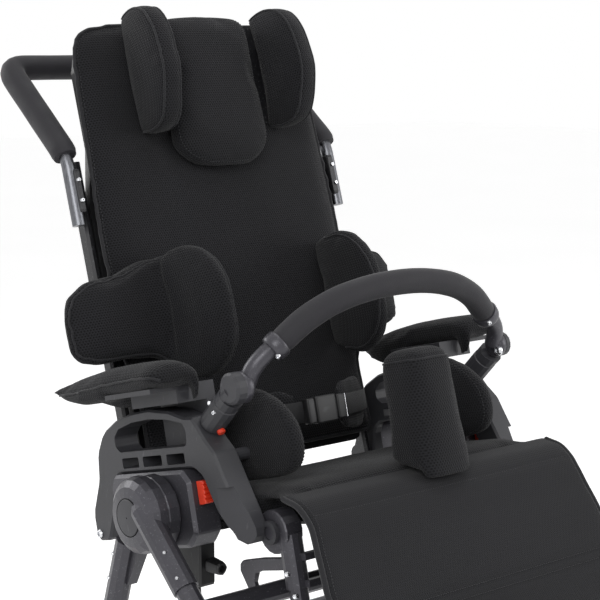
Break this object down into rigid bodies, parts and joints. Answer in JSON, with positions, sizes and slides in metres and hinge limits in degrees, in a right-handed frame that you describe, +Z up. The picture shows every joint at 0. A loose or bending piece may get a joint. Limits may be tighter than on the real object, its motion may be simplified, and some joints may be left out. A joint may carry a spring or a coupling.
{
  "type": "rehabilitation chair",
  "caption": "Postural seat on a folding castor frame, with padded supports for head, trunk, hips, thighs and calves, a padded front bar and a push handle.",
  "frame": {"origin": "on the floor, under the middle of the whole chair's bounding box", "axes": "the sitter faces -Y, +X is the sitter's left, +Z is up"},
  "size_m": [0.569, 0.8808, 1.0235],
  "materials": {
    "graphite": "satin, powder-coated graphite grey",
    "black_paint": "satin, black powder coat",
    "grey_plastic": "matte, fine grain",
    "black_plastic": "matte, fine grain",
    "red_plastic": "satin red-orange",
    "foam": "matte closed-cell foam",
    "mesh_fabric": "matte spacer mesh over foam",
    "cover_fabric": "matte woven cover over foam",
    "steel": "satin",
    "tyre": "matte"
  },
  "bodies": {
    "base": {"hub_housing_R": "graphite", "hub_housing_L": "graphite", "front_frame": "graphite"},
    "rear_legs": {"rear_frame": "graphite"},
    "seat_unit": {"seat_adapter_R": "graphite", "seat_adapter_L": "graphite", "side_plate_R": "grey_plastic", "side_plate_L": "grey_plastic", "crossbar_socket_R": "grey_plastic", "crossbar_socket_L": "grey_plastic", "hip_pad_R": "mesh_fabric", "hip_pad_L": "mesh_fabric", "belt_pad_R": "mesh_fabric", "belt_pad_L": "mesh_fabric", "belt_buckle": "black_plastic", "seat_pan": "black_plastic", "seat_cushion": "mesh_fabric", "tilt_lock_housing": "black_plastic"},
    "tilt_knob": {"tilt_lock_knob": "black_plastic"},
    "abduction": {"abduction_block": "mesh_fabric"},
    "crossbar": {"crossbar_tube": "graphite", "crossbar_grip": "foam"},
    "backrest": {"backrest_frame": "black_paint", "backrest_shell": "black_plastic", "backrest_cushion": "mesh_fabric"},
    "headrest": {"headrest_bar": "black_paint", "headrest_pad": "mesh_fabric"},
    "push_handle": {"handle_bar": "steel", "handle_grip": "foam"},
    "leg_rest": {"legrest_frame": "graphite", "calf_cushion": "cover_fabric"},
    "plate_carrier": {"footplate_carrier": "steel"},
    "foot_plate": {"footplate": "black_plastic"},
    "lever_R": {"release_lever_R": "red_plastic"},
    "button_R": {"crossbar_button_R": "red_plastic"},
    "armrest_R": {"armrest_bracket_R": "grey_plastic", "armrest_pad_R": "mesh_fabric"},
    "bar_stem_R": {"crossbar_stem_R": "grey_plastic"},
    "head_wing_R": {"headrest_wing_R": "mesh_fabric"},
    "lateral_R": {"lateral_bracket_R": "black_paint", "lateral_pad_R": "mesh_fabric"},
    "lever_L": {"release_lever_L": "red_plastic"},
    "button_L": {"crossbar_button_L": "red_plastic"},
    "armrest_L": {"armrest_bracket_L": "grey_plastic", "armrest_pad_L": "mesh_fabric"},
    "bar_stem_L": {"crossbar_stem_L": "grey_plastic"},
    "head_wing_L": {"headrest_wing_L": "mesh_fabric"},
    "lateral_L": {"lateral_bracket_L": "black_paint", "lateral_pad_L": "mesh_fabric"},
    "fork_FL": {"castor_fork_FL": "black_plastic"},
    "wheel_FL": {"castor_wheel_FL": "tyre"},
    "fork_FR": {"castor_fork_FR": "black_plastic"},
    "wheel_FR": {"castor_wheel_FR": "tyre"},
    "fork_RL": {"castor_fork_RL": "black_plastic"},
    "wheel_RL": {"castor_wheel_RL": "tyre"},
    "fork_RR": {"castor_fork_RR": "black_plastic"},
    "wheel_RR": {"castor_wheel_RR": "tyre"},
    "pedal_RL": {"brake_pedal_RL": "red_plastic"},
    "pedal_RR": {"brake_pedal_RR": "red_plastic"}
  },
  "joints": [
    {"name": "rear_frame_fold", "type": "hinge", "parent": "base", "child": "rear_legs", "pos_m": [0, 0.0678, 0.46], "axis": [-1, 0, 0], "range_deg": [0, 28]},
    {"name": "seat_tilt", "type": "hinge", "parent": "base", "child": "seat_unit", "pos_m": [0, 0.0678, 0.46], "axis": [-1, 0, 0], "range_deg": [-5, 20]},
    {"name": "castor_swivel_FL", "type": "hinge", "parent": "base", "child": "fork_FL", "pos_m": [0.264, -0.2907, 0], "axis": [0, 0, 1], "continuous": true},
    {"name": "castor_spin_FL", "type": "hinge", "parent": "fork_FL", "child": "wheel_FL", "pos_m": [0.264, -0.2627, 0.048], "axis": [1, 0, 0], "continuous": true},
    {"name": "castor_swivel_FR", "type": "hinge", "parent": "base", "child": "fork_FR", "pos_m": [-0.264, -0.2907, 0], "axis": [0, 0, 1], "continuous": true},
    {"name": "castor_spin_FR", "type": "hinge", "parent": "fork_FR", "child": "wheel_FR", "pos_m": [-0.264, -0.2627, 0.048], "axis": [1, 0, 0], "continuous": true},
    {"name": "castor_swivel_RL", "type": "hinge", "parent": "rear_legs", "child": "fork_RL", "pos_m": [0.246, 0.3298, 0], "axis": [0, 0, 1], "continuous": true},
    {"name": "castor_spin_RL", "type": "hinge", "parent": "fork_RL", "child": "wheel_RL", "pos_m": [0.246, 0.3578, 0.048], "axis": [1, 0, 0], "continuous": true},
    {"name": "brake_RL", "type": "hinge", "parent": "fork_RL", "child": "pedal_RL", "pos_m": [0.246, 0.3798, 0.104], "axis": [-1, 0, 0], "range_deg": [0, 12]},
    {"name": "castor_swivel_RR", "type": "hinge", "parent": "rear_legs", "child": "fork_RR", "pos_m": [-0.246, 0.3298, 0], "axis": [0, 0, 1], "continuous": true},
    {"name": "castor_spin_RR", "type": "hinge", "parent": "fork_RR", "child": "wheel_RR", "pos_m": [-0.246, 0.3578, 0.048], "axis": [1, 0, 0], "continuous": true},
    {"name": "brake_RR", "type": "hinge", "parent": "fork_RR", "child": "pedal_RR", "pos_m": [-0.246, 0.3798, 0.104], "axis": [-1, 0, 0], "range_deg": [0, 12]},
    {"name": "release_lever_press_R", "type": "slide", "parent": "seat_unit", "child": "lever_R", "axis": [0, -0.2419, -0.9703], "range_m": [0, 0.006], "stiffness_N_per_m": 300, "springref_m": -0.003},
    {"name": "crossbar_button_press_R", "type": "slide", "parent": "seat_unit", "child": "button_R", "axis": [0, 0.7246, 0.6891], "range_m": [0, 0.002], "stiffness_N_per_m": 600, "springref_m": -0.001},
    {"name": "armrest_depth_R", "type": "slide", "parent": "seat_unit", "child": "armrest_R", "axis": [0, 0.9703, -0.2419], "range_m": [0, 0.03]},
    {"name": "release_lever_press_L", "type": "slide", "parent": "seat_unit", "child": "lever_L", "axis": [0, -0.2419, -0.9703], "range_m": [0, 0.006], "stiffness_N_per_m": 300, "springref_m": -0.003},
    {"name": "crossbar_button_press_L", "type": "slide", "parent": "seat_unit", "child": "button_L", "axis": [0, 0.7246, 0.6891], "range_m": [0, 0.002], "stiffness_N_per_m": 600, "springref_m": -0.001},
    {"name": "armrest_depth_L", "type": "slide", "parent": "seat_unit", "child": "armrest_L", "axis": [0, 0.9703, -0.2419], "range_m": [0, 0.03]},
    {"name": "tilt_knob_turn", "type": "hinge", "parent": "seat_unit", "child": "tilt_knob", "pos_m": [-0.18, 0.0456, 0.393], "axis": [0, 1, 0], "continuous": true},
    {"name": "abduction_block_lift", "type": "slide", "parent": "seat_unit", "child": "abduction", "axis": [0, 0.2419, 0.9703], "range_m": [0, 0.045]},
    {"name": "crossbar_lift_R", "type": "slide", "parent": "seat_unit", "child": "bar_stem_R", "axis": [0, -0.6891, 0.7246], "range_m": [0, 0.02]},
    {"name": "crossbar_lift_L", "type": "slide", "parent": "seat_unit", "child": "bar_stem_L", "axis": [0, -0.6891, 0.7246], "range_m": [0, 0.02]},
    {"name": "crossbar_swing", "type": "hinge", "parent": "bar_stem_R", "child": "crossbar", "pos_m": [0, -0.03615, 0.61269], "axis": [-1, 0, 0], "range_deg": [-25, 30]},
    {"name": "backrest_recline", "type": "hinge", "parent": "seat_unit", "child": "backrest", "pos_m": [0, 0.19175, 0.43425], "axis": [-1, 0, 0], "range_deg": [0, 30]},
    {"name": "headrest_height", "type": "slide", "parent": "backrest", "child": "headrest", "axis": [0, 0.299, 0.9542], "range_m": [0, 0.05]},
    {"name": "headrest_wing_R", "type": "hinge", "parent": "headrest", "child": "head_wing_R", "pos_m": [-0.0985, 0.29443, 0.93443], "axis": [0, -0.299, -0.9542], "range_deg": [-10, 15]},
    {"name": "lateral_width_R", "type": "slide", "parent": "backrest", "child": "lateral_R", "axis": [-1, 0, 0], "range_m": [-0.02, 0.015]},
    {"name": "headrest_wing_L", "type": "hinge", "parent": "headrest", "child": "head_wing_L", "pos_m": [0.0985, 0.29443, 0.93443], "axis": [0, 0.299, 0.9542], "range_deg": [-10, 15]},
    {"name": "lateral_width_L", "type": "slide", "parent": "backrest", "child": "lateral_L", "axis": [1, 0, 0], "range_m": [-0.02, 0.015]},
    {"name": "push_handle_height", "type": "slide", "parent": "backrest", "child": "push_handle", "axis": [0, 0.299, 0.9542], "range_m": [0, 0.05]},
    {"name": "leg_rest_angle", "type": "hinge", "parent": "seat_unit", "child": "leg_rest", "pos_m": [0, -0.07833, 0.46088], "axis": [1, 0, 0], "range_deg": [-3, 12]},
    {"name": "footplate_height", "type": "slide", "parent": "leg_rest", "child": "plate_carrier", "axis": [0, -0.2419, -0.9703], "range_m": [0, 0.05]},
    {"name": "footplate_flip", "type": "hinge", "parent": "plate_carrier", "child": "foot_plate", "pos_m": [0, -0.29763, 0.15999], "axis": [-1, 0, 0], "range_deg": [0, 90]}
  ],
  "couplings": [
    {"joint": "crossbar_lift_L", "follows": "crossbar_lift_R", "ratio": 1}
  ]
}
